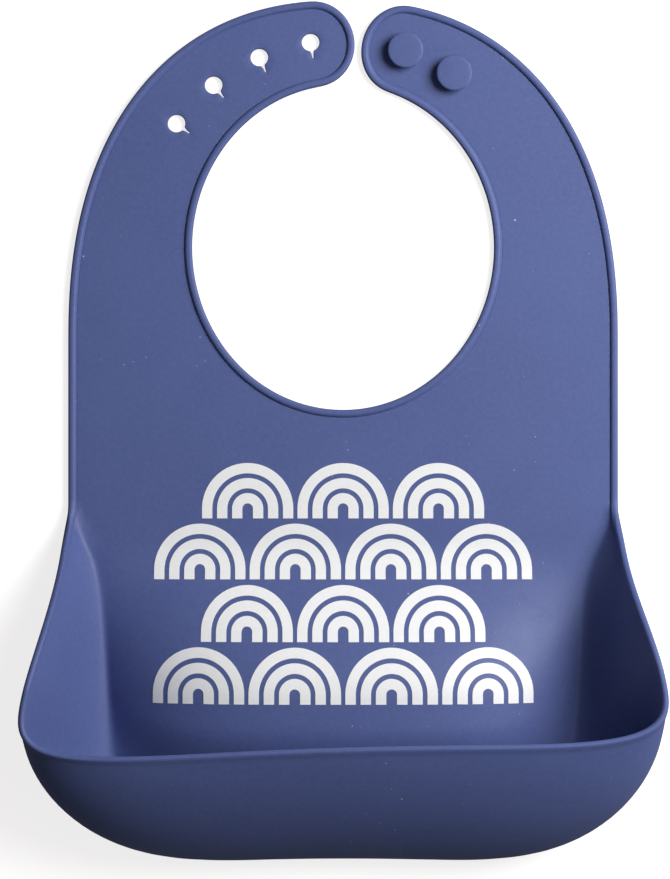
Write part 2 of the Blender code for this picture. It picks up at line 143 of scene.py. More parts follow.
# ---- Fineness of the skin ----
STATION_SPACING = 1.4
FILL_SPACING = 2.2
KEYHOLE_SPACING = 0.33
MIDLINE_SAMPLES = 220
WALL_SAMPLES = 260
FLOOR_SAMPLES = 40
HALVINGS = 40
WALL_RINGS = 24
CREASE_RINGS = 14
FLOOR_RINGS = 3
STUD_SIDES = 72
INK_COLUMNS = 5

# Edge profiles, from the underside round the edge to the top: (distance in, height from the
# middle of the sheet). The bead stands on the flat part, the lip on the pocket wall.
BEAD_PROFILE = (
    (3.3, -0.9), (2.0, -0.9), (1.0, -0.9), (0.5, -0.9), (0.31, -0.86), (0.15, -0.75),
    (0.04, -0.59), (0.0, -0.4), (0.0, 0.0), (0.0, 0.5), (0.0, 1.0), (0.04, 1.3), (0.15, 1.55),
    (0.35, 1.75), (0.62, 1.87), (1.0, 1.93), (1.4, 1.94), (1.8, 1.9), (2.15, 1.78),
    (2.42, 1.56), (2.6, 1.27), (2.7, 1.0), (2.78, 0.84), (2.9, 0.8), (3.08, 0.84), (3.3, 0.9),
)
LIP_PROFILE = (
    (3.3, -0.8), (2.6, -0.81), (1.9, -0.86), (1.2, -0.98), (0.7, -1.07), (0.25, -1.13),
    (-0.2, -1.13), (-0.55, -1.01), (-0.88, -0.74), (-1.1, -0.33), (-1.15, 0.0), (-1.1, 0.33),
    (-0.88, 0.74), (-0.55, 1.01), (-0.2, 1.13), (0.25, 1.13), (0.7, 1.07), (1.0, 1.02),
    (1.3, 0.96), (1.6, 0.91), (1.9, 0.87), (2.2, 0.84), (2.5, 0.82), (2.8, 0.81), (3.05, 0.8),
    (3.3, 0.8),
)
PROFILE_REACH = 3.3
# Side of a key-hole, from the underside up: (distance out of the hole's outline, height)
KEYHOLE_PROFILE = (
    (0.35, 0.0), (0.12, 0.07), (0.0, 0.3), (0.0, 1.5), (0.12, 1.73), (0.35, SHEET),
)
SIDES = ((-1, "left"), (1, "right"))

# ---- Colours and light, lengths in metres ----
SILICONE_DARK = (0.080, 0.112, 0.300, 1.0)
SILICONE_LIGHT = (0.087, 0.122, 0.322, 1.0)
SILICONE_MOTTLE = (0.115, 0.150, 0.352, 1.0)
DUST_COLOUR = (0.55, 0.57, 0.62, 1.0)
# Dust: cells per metre, speck radius in cells, strength, and the noise level where it starts
DUST_KINDS = ((70.0, 0.030, 0.95, 0.0), (210.0, 0.060, 0.6, 0.5))
INK_DULL = (0.95, 0.95, 0.95, 1.0)
INK_BRIGHT = (0.99, 0.99, 0.99, 1.0)
RELIEF_DEPTH = 0.0001
TABLE_COLOUR = (0.5, 0.5, 0.5, 1.0)
TABLE_GLOW_COLOUR = (1.0, 0.985, 0.98, 1.0)
TABLE_GLOW = 0.8
TABLE_SIZE = 8.0
TABLE_Z = -0.0002
WORLD_COLOUR = (0.93, 0.96, 1.0, 1.0)
WORLD_STRENGTH = 0.09
# Lights: name, azimuth and elevation in degrees, distance, size, power in watts
LIGHTS = (("key", 27.0, 43.0, 0.85, 0.5, 8.9), ("fill", -28.0, 16.0, 1.2, 0.5, 1.4))
SENSOR_WIDTH_MM = 36.0
LENS_MM = 136.5
CAMERA_PLACE = (-0.0029, -0.00365, 1.2)


def ease(value):
    """Smooth step from 0 to 1."""
    value = np.clip(value, 0.0, 1.0)
    return value * value * (3.0 - 2.0 * value)


def unit(vectors):
    """Vectors scaled to length 1."""
    return vectors / np.maximum(np.linalg.norm(vectors, axis=-1, keepdims=True), 1e-9)


# ---- Outline of the flat part ----

def neck_points(angles):
    """Points of the elliptic neck opening on rays from its centre."""
    turn = np.radians(angles)
    reach = 1.0 / np.hypot(np.cos(turn) / NECK_HALF_WIDTH, np.sin(turn) / NECK_HALF_HEIGHT)
    return np.column_stack([reach * np.cos(turn), NECK_Y + reach * np.sin(turn)])


def outer_points(angles):
    """Outer edge on rays from the neck's centre: straight sides, superelliptic top."""
    turn = np.radians(np.asarray(angles, float))
    near, far = np.zeros_like(turn), np.full_like(turn, 2.0 * TOP_Y)
    for _ in range(HALVINGS):
        reach = (near + far) / 2.0
        across = np.abs(reach * np.cos(turn)) / HALF_WIDTH
        along = np.maximum(NECK_Y + reach * np.sin(turn) - SHOULDER_Y, 0.0) / (TOP_Y - SHOULDER_Y)
        inside = across ** SHOULDER_POWER + along ** SHOULDER_POWER < 1.0
        near, far = np.where(inside, reach, near), np.where(inside, far, reach)
    return np.column_stack([near * np.cos(turn), NECK_Y + near * np.sin(turn)])


def tip_points(angle, side):
    """Round end of a strap, from its outer edge to its inner edge."""
    inner, outer = neck_points([angle])[0], outer_points([angle])[0]
    middle, half = (inner + outer) / 2.0, (outer - inner) / 2.0
    turn = math.radians(angle)
    along = np.array((-math.sin(turn), math.cos(turn))) * (side * TIP_REACH)
    swing = np.linspace(0.0, math.pi, 120)[:, None]
    return middle + half * np.cos(swing) + along * np.sin(swing)


def travel_along(points):
    """Distance from the polyline's start to each of its points."""
    steps = np.linalg.norm(np.diff(points, axis=0), axis=1)
    return np.concatenate([[0.0], np.cumsum(steps)])


def resample(points, spacing):
    """The polyline at an even spacing, both ends kept."""
    travel = travel_along(points)
    stops = np.linspace(0.0, travel[-1], max(2, round(travel[-1] / spacing)) + 1)
    return np.column_stack([np.interp(stops, travel, points[:, i]) for i in range(points.shape[1])])


def relax(points, passes):
    """Moving average along a polyline, both ends kept."""
    points = points.copy()
    for _ in range(passes):
        points[1:-1] = (points[:-2] + 2.0 * points[1:-1] + points[2:]) / 4.0
    return points


def flat_edge():
    """Edge from the right waist up, round both straps and the neck, down to the left waist."""
    shoulder = math.degrees(math.atan2(SHOULDER_Y - NECK_Y, HALF_WIDTH))
    climb = np.linspace(WAIST_Y, SHOULDER_Y, 100)
    parts = (
        np.column_stack([np.full_like(climb, HALF_WIDTH), climb]),
        outer_points(np.linspace(shoulder, RIGHT_TIP_ANGLE, 500))[1:],
        tip_points(RIGHT_TIP_ANGLE, 1.0)[1:],
        neck_points(np.linspace(RIGHT_TIP_ANGLE, LEFT_TIP_ANGLE - 360.0, 1200))[1:],
        tip_points(LEFT_TIP_ANGLE, -1.0)[::-1][1:],
        outer_points(np.linspace(LEFT_TIP_ANGLE, 180.0 - shoulder, 500))[1:],
        np.column_stack([np.full_like(climb, -HALF_WIDTH), climb[::-1]])[1:],
    )
    return relax(resample(np.concatenate(parts), STATION_SPACING), passes=3)


# ---- Floor and wall of the pocket ----

def crease_half_width(y):
    """Half the width of the floor, as wide as the flat part down to where the crease starts."""
    straight = CREASE_HALF_WIDTH + CREASE_TAPER * (y - BASE_CORNER_Y)
    at_start = CREASE_HALF_WIDTH + CREASE_TAPER * (CREASE_START_Y - BASE_CORNER_Y)
    run_in = np.exp(np.minimum(y - CREASE_START_Y, 0.0) / CREASE_RUN_IN)
    return np.where(y >= CREASE_START_Y, HALF_WIDTH, straight + (HALF_WIDTH - at_start) * run_in)


def crown_height(x, y):
    """Rise of the floor between the creases, where the sheet bows upwards."""
    across = np.clip(np.abs(x / crease_half_width(y)), 0.0, 1.0)
    depth = (1.0 - across ** BASE_POWER) ** (1.0 / BASE_POWER)
    front = BASE_CORNER_Y + (BASE_FRONT_Y - BASE_CORNER_Y) * depth
    lengthwise = ease((CROWN_START_Y - y) / (CROWN_START_Y - CROWN_FULL_Y))
    return CROWN * lengthwise * ease((y - front) / CROWN_FRONT_RUN) * (1.0 - across ** CROWN_POWER)


def floor_slopes(x, y):
    """Slope of the floor across and along the bib."""
    step = 0.5
    rise = crown_height(x, y)
    return (crown_height(x + step, y) - rise) / step, (crown_height(x, y + step) - rise) / step


def floor_top(x, y):
    """Height of the sheet's upper face above a point of the floor."""
    slope_x, slope_y = floor_slopes(x, y)
    steepness = np.sqrt(1.0 + slope_x ** 2 + slope_y ** 2)
    return crown_height(x, y) + SHEET / 2.0 * (1.0 + steepness)


def wall_frame(share):
    """Base, rim, outward direction and corner turn at shares 0 to 1 round the pocket."""
    side = np.where(share < 0.5, -1.0, 1.0)
    near = np.minimum(share, 1.0 - share)
    run = np.minimum(near / SIDE_SHARE, 1.0)
    turn = np.maximum(near - SIDE_SHARE, 0.0) / (0.5 - SIDE_SHARE) * math.pi / 2.0
    base_side_y = WAIST_Y + (BASE_CORNER_Y - WAIST_Y) * run
    rim_side_y = WAIST_Y + (RIM_CORNER_Y - WAIST_Y) * run
    forwards, across = np.sin(turn), np.clip(np.cos(turn), 0.0, 1.0)
    base_y = base_side_y + (BASE_FRONT_Y - BASE_CORNER_Y) * forwards ** (2.0 / BASE_POWER)
    rim_y = rim_side_y + (RIM_FRONT_Y - RIM_CORNER_Y) * forwards ** (2.0 / RIM_POWER)
    base_x = crease_half_width(base_y) * across ** (2.0 / BASE_POWER)
    flare = np.clip((WAIST_Y - rim_y) / (WAIST_Y - RIM_FLARE_END_Y), 0.0, 1.0)
    rim_x = HALF_WIDTH + (RIM_HALF_WIDTH - HALF_WIDTH) * ease(flare ** RIM_FLARE_POWER)
    rim_x = rim_x * across ** (2.0 / RIM_POWER)
    rise = RIM_EARLY_RISE * run + (1.0 - RIM_EARLY_RISE) * ease(run)
    rim_z = BEAD_TOP + (RIM_CORNER_Z - BEAD_TOP) * rise
    rim_z = rim_z + (RIM_FRONT_Z - RIM_CORNER_Z) * forwards
    base = np.column_stack([side * base_x, base_y, np.full_like(base_y, SHEET / 2.0)])
    rim = np.column_stack([side * rim_x, rim_y, rim_z])
    outward = np.column_stack([side * np.cos(turn), -np.sin(turn), np.zeros_like(turn)])
    return base, rim, outward, turn


def handle(sizes, front, corner):
    """Length of a curve handle from its size at the cheek and what front and corner add."""
    at_cheek, at_front, at_corner = sizes
    return at_cheek + at_front * front + at_corner * corner


def wall_lines(base, rim, outward, turn, climb):
    """Middle of the pocket wall at each station (rows) and climb (columns)."""
    height = (rim[:, 2] - base[:, 2]) / (RIM_FRONT_Z - SHEET / 2.0)
    front, corner = np.sin(turn), np.maximum(np.sin(2.0 * turn), 0.0)
    reach = handle(FOOT_REACH, front ** 2, corner) * height
    lean = handle(HEAD_LEAN, front ** HEAD_LEAN_POWER, corner) * height
    drop = handle(HEAD_DROP, front ** 2, corner) * height
    first = base + outward * reach[:, None]
    second = rim + outward * lean[:, None] - np.array((0.0, 0.0, 1.0)) * drop[:, None]
    c = climb[None, :, None]
    line = base[:, None] * (1.0 - c) ** 3 + first[:, None] * (3.0 * (1.0 - c) ** 2 * c)
    line = line + second[:, None] * (3.0 * (1.0 - c) * c * c) + rim[:, None] * c ** 3
    sway = RIM_SKEW * rim[:, 0] + RIM_BOW * (1.0 - (rim[:, 0] / RIM_HALF_WIDTH) ** 2)
    sway = sway * ease((WAIST_Y - rim[:, 1]) / RIM_SWAY_RUN)
    line[..., 1] += sway[:, None] * climb[None, :] ** 3
    return line


def pocket_shares():
    """Shares of evenly spaced stations from the left waist round the front to the right one."""
    sides = np.linspace(0.0, SIDE_SHARE, 400)
    front = SIDE_SHARE + (0.5 - SIDE_SHARE) * ease(np.linspace(0.0, 1.0, 1600))
    half = np.concatenate([sides, front[1:]])
    base, rim, _, _ = wall_frame(half)
    travel = (travel_along(rim) + travel_along(base)) / 2.0
    stops = np.linspace(0.0, travel[-1], round(travel[-1] / STATION_SPACING) + 1)
    shares = np.interp(stops, travel, half)
    return np.concatenate([shares, 1.0 - shares[-2::-1]])


def turned_left(points):
    """Unit normals on the left of a polyline in the XY plane."""
    along = unit(np.gradient(points[:, :2], axis=0))
    return np.column_stack([-along[:, 1], along[:, 0]])


def even_lines(lines, samples):
    """Each station's line at evenly spaced samples, and its length."""
    steps = np.linalg.norm(np.diff(lines, axis=1), axis=2)
    travel = np.concatenate([np.zeros((len(lines), 1)), np.cumsum(steps, axis=1)], axis=1)
    even = np.empty((len(lines), samples, 3))
    for row, (line, done) in enumerate(zip(lines, travel)):
        stops = np.linspace(0.0, done[-1], samples)
        for axis in range(3):
            even[row, :, axis] = np.interp(stops, done, line[:, axis])
    return even, travel[:, -1]


def lines_inwards(starts, inward, reach, run):
    """Lines from each start as far inwards as its reach, in plan; their height is still 0."""
    lines = np.zeros((len(starts), len(run), 3))
    for axis in range(2):
        lines[..., axis] = starts[:, None, axis] + inward[:, None, axis] * reach[:, None] * run
    return lines


def flat_lines(edge, reach, height):
    """Straight lines from the edge inwards, sinking from the edge's height to the sheet's."""
    run = np.linspace(0.0, 1.0, MIDLINE_SAMPLES)
    lines = lines_inwards(edge, turned_left(edge), reach, run)
    lines[..., 2] = SHEET / 2.0 + height[:, None] * (1.0 - ease(run))
    return lines


def pocket_lines(share, pocket):
    """Lines down the wall, over the crease and onto the floor, level ones where pocket is 0."""
    base, rim, outward, turn = wall_frame(share)
    base[:, :2] = relax(base[:, :2], passes=12)
    walls = wall_lines(base, rim, outward, turn, np.linspace(1.0, 0.0, WALL_SAMPLES))
    reach = FLOOR_REACH_FLAT + (FLOOR_REACH_POCKET - FLOOR_REACH_FLAT) * pocket
    run = np.linspace(0.0, 1.0, FLOOR_SAMPLES)[1:]
    floors = lines_inwards(base, turned_left(base), reach, run)
    floors[..., 2] = SHEET / 2.0 + crown_height(floors[..., 0], floors[..., 1])
    steep, _ = even_lines(np.concatenate([walls, floors], axis=1), MIDLINE_SAMPLES)
    edge = walls[:, 0]
    level = flat_lines(edge, reach, edge[:, 2] - BEAD_TOP)
    mix = pocket[:, None, None]
    return steep * mix + level * (1.0 - mix)


def middle_surface():
    """Lines from the edge inwards at every station round the bib, and the share of pocket."""
    share = pocket_shares()
    pocket = ease(np.minimum(share, 1.0 - share) / BLEND_SHARE)
    flat = flat_edge()[1:-1]
    still = np.zeros(len(flat))
    flat_side = flat_lines(flat, still + FLOOR_REACH_FLAT, still)
    lines = np.concatenate([pocket_lines(share, pocket), flat_side])
    return lines, np.concatenate([pocket, still])


def sample_rows(lines, place):
    """Points of each line at fractional sample numbers, straight on past both ends."""
    low = np.clip(np.floor(place).astype(int), 0, lines.shape[1] - 2)
    part = (place - low)[..., None]
    rows = np.arange(len(lines))[:, None]
    return lines[rows, low] * (1.0 - part) + lines[rows, low + 1] * part


def soften_crease(lines, length):
    """Round the sharp bend where wall meets floor, by averaging along each line."""
    samples = lines.shape[1]
    place = np.arange(samples)
    window = CREASE_SOFTNESS / (length / (samples - 1))
    reach = np.minimum(window[:, None], np.minimum(place, samples - 1 - place)[None, :])
    for _ in range(3):
        lines = (lines + sample_rows(lines, place - reach) + sample_rows(lines, place + reach)) / 3.0
    return lines


def ring_distances(length, pocket):
    """Distances from the edge to the rings between the edge profile and the line's end."""
    rings = WALL_RINGS + CREASE_RINGS + FLOOR_RINGS
    even = PROFILE_REACH + (length[:, None] - PROFILE_REACH) * (np.arange(1, rings + 1) / rings)
    crease = length - FLOOR_REACH_POCKET
    start = np.maximum(crease - CREASE_ZONE, PROFILE_REACH + 0.5)
    finish = np.maximum(crease + CREASE_ZONE, start + 0.5)
    parts = []
    for low, high, count in (
        (np.full_like(length, PROFILE_REACH), start, WALL_RINGS),
        (start, finish, CREASE_RINGS),
        (finish, np.maximum(length, finish + 0.1), FLOOR_RINGS),
    ):
        run = np.arange(1, count + 1) / count
        parts.append(low[:, None] + (high - low)[:, None] * run[None, :])
    graded = np.concatenate(parts, axis=1)
    graded *= (length / graded[:, -1])[:, None] ** (graded / graded[:, -1:])
    mix = pocket[:, None]
    return graded * mix + even * (1.0 - mix)


def skin_strip():
    """Points of the closed strip round the whole bib: stations by profile points."""
    lines, pocket = middle_surface()
    lines, length = even_lines(lines, MIDLINE_SAMPLES)
    lines, length = even_lines(soften_crease(lines, length), MIDLINE_SAMPLES)
    along = np.roll(lines, -1, axis=0) - np.roll(lines, 1, axis=0)
    across = np.gradient(lines, axis=1)
    normals = unit(np.cross(along, across))

    mix = pocket[:, None]
    bead, lip = np.array(BEAD_PROFILE), np.array(LIP_PROFILE)
    edge_in = bead[None, :, 0] * (1.0 - mix) + lip[None, :, 0] * mix
    edge_up = bead[None, :, 1] * (1.0 - mix) + lip[None, :, 1] * mix
    rings = ring_distances(length, pocket)
    share_in = (rings - PROFILE_REACH) / (length[:, None] - PROFILE_REACH)
    half_wall = SHEET / 2.0 + (WALL - SHEET) / 2.0 * mix * (1.0 - ease(share_in))
    distance = np.concatenate([rings[:, ::-1], edge_in, rings], axis=1)
    height = np.concatenate([-half_wall[:, ::-1], edge_up, half_wall], axis=1)

    place = distance / (length[:, None] / (MIDLINE_SAMPLES - 1))
    normal = unit(sample_rows(normals, np.clip(place, 0.0, MIDLINE_SAMPLES - 1.0)))
    return sample_rows(lines, place) + normal * height[..., None]


# ---- Key-holes ----

def closure_point(angle, radius=CLOSURE_RADIUS):
    """Point on a circle round the neck's centre."""
    turn = math.radians(angle)
    return np.array((radius * math.cos(turn), NECK_Y + radius * math.sin(turn)))


def keyhole_outline(angle):
    """Counter-clockwise outline of a round hole with a slit that tapers towards the neck."""
    centre = closure_point(angle)
    inwards = unit(closure_point(angle, 0.0) - centre)
    across = np.array((-inwards[1], inwards[0]))
    mouth = math.asin(SLIT_WIDTH / 2.0 / HOLE_RADIUS)
    swing = np.linspace(mouth, math.tau - mouth, 90)[:, None]
    rim = centre + (inwards * np.cos(swing) + across * np.sin(swing)) * HOLE_RADIUS
    end = centre + inwards * (HOLE_RADIUS + SLIT_LENGTH)
    slit = []
    for flank, shares in ((-1.0, np.linspace(0.0, 1.0, 9)[1:]), (1.0, np.linspace(1.0, 0.0, 9)[:-1])):
        start = rim[-1] if flank < 0.0 else rim[0]
        for part in shares:
            point = start + (end + across * (SLIT_END_HALF_WIDTH * flank) - start) * part
            middle = centre + inwards * np.dot(point - centre, inwards)
            pinch = 1.0 - SLIT_PINCH * math.sin(math.pi * part)
            slit.append(middle + (point - middle) * pinch)
    outline = np.concatenate([rim, np.array(slit), rim[:1]])
    return resample(outline, KEYHOLE_SPACING)[:-1]


def keyhole_rings(outline):
    """Rings from the underside's softened edge up the hole's side to the top's."""
    closed = np.concatenate([outline[-1:], outline, outline[:1]])
    outward = -turned_left(closed)[1:-1]
    rings = []
    for out, z in KEYHOLE_PROFILE:
        ring = outline + outward * out
        rings.append(np.column_stack([ring, np.full(len(ring), z)]))
    return rings


# ---- The whole skin ----

def crossings(points, loop):
    """Whether each point lies inside a closed loop."""
    inside = np.zeros(len(points), bool)
    for a, b in zip(loop, np.roll(loop, -1, axis=0)):
        spans = (a[1] > points[:, 1]) != (b[1] > points[:, 1])
        if spans.any():
            x = a[0] + (points[:, 1] - a[1]) / (b[1] - a[1]) * (b[0] - a[0])
            inside ^= spans & (points[:, 0] < x)
    return inside


def near_any(points, loop_points, distance):
    """Whether each point is closer than the distance to any of the loop points."""
    near = np.zeros(len(points), bool)
    for point in loop_points:
        near |= np.hypot(points[:, 0] - point[0], points[:, 1] - point[1]) < distance
    return near


def fill_points(outer, holes):
    """Staggered grid of points inside the outer loop and outside the holes."""
    low, high = outer.min(axis=0), outer.max(axis=0)
    rows = np.arange(low[1], high[1], FILL_SPACING * math.sqrt(3.0) / 2.0)
    columns = np.arange(low[0], high[0], FILL_SPACING)
    grid = np.array([
        (x + (number % 2) * FILL_SPACING / 2.0, y) for number, y in enumerate(rows) for x in columns
    ])
    keep = crossings(grid, outer)
    for hole in holes:
        keep &= ~crossings(grid, hole)
    grid = grid[keep]
    return grid[~near_any(grid, np.concatenate([outer, *holes]), FILL_SPACING * 0.6)]


def strip_faces(stations, profile):
    """Quads of the closed strip, whose points are numbered station by station."""
    faces = []
    for i in range(stations):
        here, after = i * profile, (i + 1) % stations * profile
        faces += [(here + k, after + k, after + k + 1, here + k + 1) for k in range(profile - 1)]
    return faces


def hole_faces(first, size, levels):
    """Quads down the side of a hole, whose points are numbered ring by ring."""
    faces = []
    for level in range(levels - 1):
        start = first + level * size
        for i in range(size):
            after = (i + 1) % size
            faces.append((start + after, start + i, start + size + i, start + size + after))
    return faces


def fill_triangles(loops, grid):
    """Triangles between the outer loop and the holes, numbered through the loops, then the grid."""
    edges, start = [], 0
    for loop in loops:
        edges += [(start + i, start + (i + 1) % len(loop)) for i in range(len(loop))]
        start += len(loop)
    flat = np.concatenate([*loops, grid])
    made = delaunay_2d_cdt([Vector(p) for p in flat.tolist()], edges, [], 0, 1e-5)
    made_points = np.array([tuple(p) for p in made[0]])
    origins = np.array([group[0] for group in made[3]])
    triangles = np.array(made[2])
    centres = made_points[triangles].mean(axis=1)
    keep = crossings(centres, loops[0])
    for loop in loops[1:]:
        keep &= ~crossings(centres, loop)
    return origins[triangles[keep]]


def sheet_faces(grid):
    """Points of the sheet's underside and of its upper face at the grid's points."""
    slope_x, slope_y = floor_slopes(grid[:, 0], grid[:, 1])
    normal = unit(np.column_stack([-slope_x, -slope_y, np.ones(len(grid))]))
    middle = np.column_stack([grid, crown_height(grid[:, 0], grid[:, 1]) + SHEET / 2.0])
    return [middle - normal * (SHEET / 2.0), middle + normal * (SHEET / 2.0)]


def skin_mesh():
    """The closed skin as points and faces."""
    strip = skin_strip()
    stations, profile = strip.shape[:2]
    points = [strip.reshape(-1, 3)]
    faces = strip_faces(stations, profile)
    count = stations * profile
    bottom_loops = [np.arange(stations) * profile]
    top_loops = [bottom_loops[0] + profile - 1]
    for index in range(HOLE_COUNT):
        rings = keyhole_rings(keyhole_outline(FIRST_HOLE_ANGLE + HOLE_PITCH_ANGLE * index))
        size = len(rings[0])
        faces += hole_faces(count, size, len(rings))
        bottom_loops.append(count + np.arange(size))
        top_loops.append(count + (len(rings) - 1) * size + np.arange(size))
        points += rings
        count += len(rings) * size
    known = np.concatenate(points)

    loops = [known[loop][:, :2] for loop in top_loops]
    grid = fill_points(loops[0], loops[1:])
    points += sheet_faces(grid)
    bottom_ids = np.concatenate([*bottom_loops, count + np.arange(len(grid))])
    top_ids = np.concatenate([*top_loops, count + len(grid) + np.arange(len(grid))])
    for a, b, c in fill_triangles(loops, grid):
        faces.append((top_ids[a], top_ids[b], top_ids[c]))
        faces.append((bottom_ids[a], bottom_ids[c], bottom_ids[b]))
    return np.concatenate(points), faces


def keep_side(solid, point, normal):
    """Cut by a plane, keep the normal's side and close the cut with a sharp-edged cap."""
    everything = list(solid.verts) + list(solid.edges) + list(solid.faces)
    cut = bmesh.ops.bisect_plane(
        solid, geom=everything, plane_co=point, plane_no=normal, clear_inner=True, dist=1e-6
    )
    edges = [item for item in cut["geom_cut"] if isinstance(item, bmesh.types.BMEdge)]
    filled = bmesh.ops.holes_fill(solid, edges=edges, sides=0)
    for edge in edges:
        if edge.is_valid:
            edge.smooth = False
    caps = bmesh.ops.triangulate(solid, faces=filled["faces"])
    for face in caps["faces"]:
        face.smooth = False


def add_object(name, mesh_bm, material):
    """Write a bmesh drawn in millimetres as an object in metres."""
    bmesh.ops.scale(mesh_bm, vec=(MM,) * 3, verts=mesh_bm.verts)
    mesh = bpy.data.meshes.new(name)
    mesh_bm.to_mesh(mesh)
    mesh_bm.free()
    mesh.materials.append(material)
    piece = bpy.data.objects.new(name, mesh)
    bpy.context.scene.collection.objects.link(piece)
    return piece


def radial_plane(side, angle, towards_tip):
    """Point and normal of a strap's hinge plane, the normal pointing at the side to keep."""
    turn = math.radians(angle if side > 0 else 180.0 - angle)
    normal = Vector((-math.sin(turn), math.cos(turn), 0.0)) * side
    return Vector((0.0, NECK_Y, 0.0)), normal if towards_tip else -normal


def level_plane(y, upwards):
    """Point and normal of a cut straight across the bib, the normal pointing at the side to keep."""
    return Vector((0.0, y, 0.0)), Vector((0.0, 1.0 if upwards else -1.0, 0.0))


def skin_cuts():
    """The planes that cut each piece out of the whole skin, by the piece's name."""
    tips = (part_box("left_strap_tip")[1].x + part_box("right_strap_tip")[0].x) / 2.0 / MM
    cuts = {
        "front_panel_skin": [level_plane(FOLD_Y, False), level_plane(POCKET_SPLIT_Y, True)],
        "pocket_skin": [level_plane(POCKET_SPLIT_Y, False)],
        "neck_panel_skin": [level_plane(FOLD_Y, True), level_plane(STRAP_ROOT_Y, False)],
    }
    first, second = STRAP_HINGE_ANGLES
    for side, word in SIDES:
        between = (Vector((tips, 0.0, 0.0)), Vector((side, 0.0, 0.0)))
        own = [level_plane(STRAP_ROOT_Y, True), between]
        cuts[f"{word}_strap_base_skin"] = own + [radial_plane(side, first, False)]
        cuts[f"{word}_strap_middle_skin"] = own + [
            radial_plane(side, first, True), radial_plane(side, second, False)
        ]
        cuts[f"{word}_strap_tip_skin"] = own + [radial_plane(side, second, True)]
    return cuts


def bend_panels(made):
    """Let the front panel ride on the panel body, and keep the pocket and the neck panel in place of
    their CAD zones.
    """
    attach(made["front_panel_skin"], "panel")
    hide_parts("front_panel")
    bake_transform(made["pocket_skin"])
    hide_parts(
        "left_cheek", "right_cheek", "pocket_front", "left_lip", "right_lip", "front_lip",
    )
    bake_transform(made["neck_panel_skin"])
    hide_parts("neck_panel")


def bend_strap(made, word):
    """Put the three pieces of one strap in place of their CAD zones."""
    piece = made[f"{word}_strap_base_skin"]
    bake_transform(piece)
    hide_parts(f"{word}_strap_base")
    zones = ("base", "middle", "tip")
    for before, zone, angle in zip(zones, zones[1:], STRAP_HINGE_ANGLES):
        piece = made[f"{word}_strap_{zone}_skin"]
        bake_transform(piece)
        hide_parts(f"{word}_strap_{zone}")


def build_skin(material):
    """Cut the skin into the pieces that the hinges separate and put each one in place of its CAD
    zones.
    """
    points, faces = skin_mesh()
    whole = bmesh.new()
    corners = [whole.verts.new(p) for p in points]
    for face in faces:
        whole.faces.new([corners[i] for i in face]).smooth = True
    bmesh.ops.recalc_face_normals(whole, faces=whole.faces)
    made = {}
    for name, planes in skin_cuts().items():
        solid = whole.copy()
        for point, normal in planes:
            keep_side(solid, point, normal)
        made[name] = add_object(name, solid, material)
    whole.free()
    bend_panels(made)
    for side, word in SIDES:
        bend_strap(made, word)


# ---- Studs and print ----

def join_rings(solid, low, high, smooth):
    """Quads between two rings that have as many points."""
    for i, corner in enumerate(low):
        after = (i + 1) % len(low)
        solid.faces.new((corner, low[after], high[after], high[i])).smooth = smooth


def stud_profile():
    """Turned outline of a stud as (radius, height), from its foot up to the middle of its cap."""
    top = SHEET + STUD_HEIGHT
    stem, cap = STUD_STEM_RADIUS, STUD_CAP_RADIUS
    return (
        (stem + 1.5, SHEET - 0.05), (stem + 0.8, SHEET + 0.08), (stem + 0.4, SHEET + 0.3),
        (stem + 0.1, SHEET + 0.7), (stem, SHEET + 1.0), (stem, top - 2.3), (stem + 0.15, top - 2.05),
        (stem + 0.5, top - 1.9), (cap - 1.0, top - 1.8), (cap - 0.4, top - 1.68),
        (cap - 0.1, top - 1.4), (cap, top - 1.05), (cap, top - 0.5), (cap - 0.07, top - 0.24),
        (cap - 0.24, top - 0.07), (cap - 0.5, top), (cap - 1.2, top + 0.02),
        (cap - 3.5, top + 0.08), (0.9, top + 0.1),
    )


def stud_solid(centre):
    """One stud as a closed turned solid."""
    solid = bmesh.new()
    turns = [math.tau * i / STUD_SIDES for i in range(STUD_SIDES)]
    rings = []
    for radius, z in stud_profile():
        rings.append([
            solid.verts.new((centre[0] + radius * math.cos(t), centre[1] + radius * math.sin(t), z))
            for t in turns
        ])
    for low, high in zip(rings, rings[1:]):
        join_rings(solid, low, high, smooth=True)
    solid.faces.new(rings[-1]).smooth = True
    solid.faces.new(rings[0])
    bmesh.ops.recalc_face_normals(solid, faces=solid.faces)
    return solid


def build_studs(material):
    """The two studs, which ride on the right strap's tip."""
    for word, angle in zip(("inner", "outer"), STUD_ANGLES):
        solid = stud_solid(closure_point(angle, STUD_CIRCLE_RADIUS))
        piece = add_object(f"{word}_stud_skin", solid, material)
        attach(piece, "right_tip")
        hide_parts(f"{word}_stud")


def arch_points(centre_x, base_y, radius):
    """Points up one short leg, round a half circle and down the other leg."""
    leg = np.linspace(0.0, FAN_LEG, 4)[:-1]
    swing = np.linspace(0.0, math.pi, 41)
    right = np.column_stack([np.full_like(leg, radius), base_y + leg])
    arch = np.column_stack([radius * np.cos(swing), base_y + FAN_LEG + radius * np.sin(swing)])
    left = (right * np.array((-1.0, 1.0)))[::-1]
    return np.concatenate([right, arch, left]) + np.array((centre_x, 0.0))


def grid_rim(grid):
    """The points round the border of a grid of rows, in order."""
    rim = grid[0] + [row[-1] for row in grid[1:-1]] + grid[-1][::-1]
    return rim + [row[0] for row in grid[-2:0:-1]]


